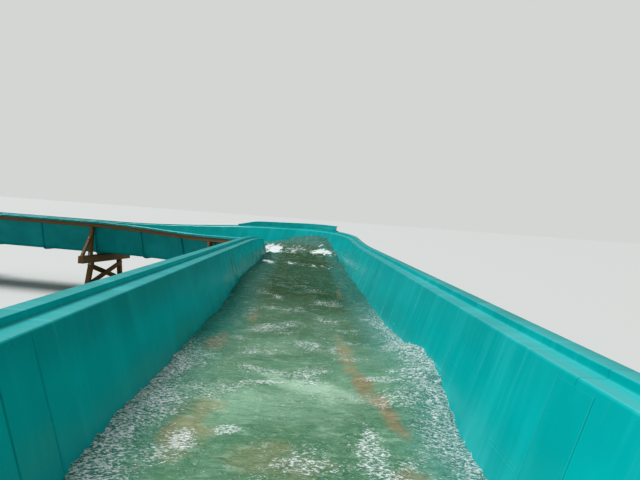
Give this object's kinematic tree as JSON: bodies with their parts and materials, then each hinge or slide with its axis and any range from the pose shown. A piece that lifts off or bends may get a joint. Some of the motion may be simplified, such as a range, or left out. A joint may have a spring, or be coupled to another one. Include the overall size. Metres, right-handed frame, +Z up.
{
  "type": "log flume ride channel",
  "caption": "Moulded turquoise log flume channel: a straight run into a banked left-hand bend with splash boards, on a low timber trestle.",
  "frame": {"origin": "middle of the footprint, on the ground under the concrete sills", "axes": "+Y along the straight run in the direction the boats travel, +X to their right, +Z up"},
  "size_m": [12.3916, 23.741, 2.4094],
  "materials": {
    "gelcoat": "turquoise gelcoat on fibreglass, glossy, water-worn",
    "timber": "treated softwood, weathered brown",
    "concrete": "cast concrete, dull grey"
  },
  "bodies": {
    "root": {"channel_1": "gelcoat", "channel_2": "gelcoat", "channel_3": "gelcoat", "channel_4": "gelcoat", "channel_5": "gelcoat", "channel_6": "gelcoat", "left_stringer_1": "timber", "right_stringer_1": "timber", "left_stringer_2": "timber", "right_stringer_2": "timber", "left_stringer_3": "timber", "right_stringer_3": "timber", "left_stringer_4": "timber", "right_stringer_4": "timber", "left_stringer_5": "timber", "right_stringer_5": "timber", "left_stringer_6": "timber", "right_stringer_6": "timber", "splash_board_1": "gelcoat", "splash_board_2": "gelcoat", "yoke_1": "timber", "legs_1": "timber", "sill_1": "concrete", "yoke_2": "timber", "legs_2": "timber", "sill_2": "concrete", "yoke_3": "timber", "legs_3": "timber", "sill_3": "concrete", "yoke_4": "timber", "legs_4": "timber", "sill_4": "concrete", "yoke_5": "timber", "legs_5": "timber", "sill_5": "concrete", "yoke_6": "timber", "legs_6": "timber", "sill_6": "concrete", "yoke_7": "timber", "legs_7": "timber", "sill_7": "concrete"}
  },
  "joints": []
}
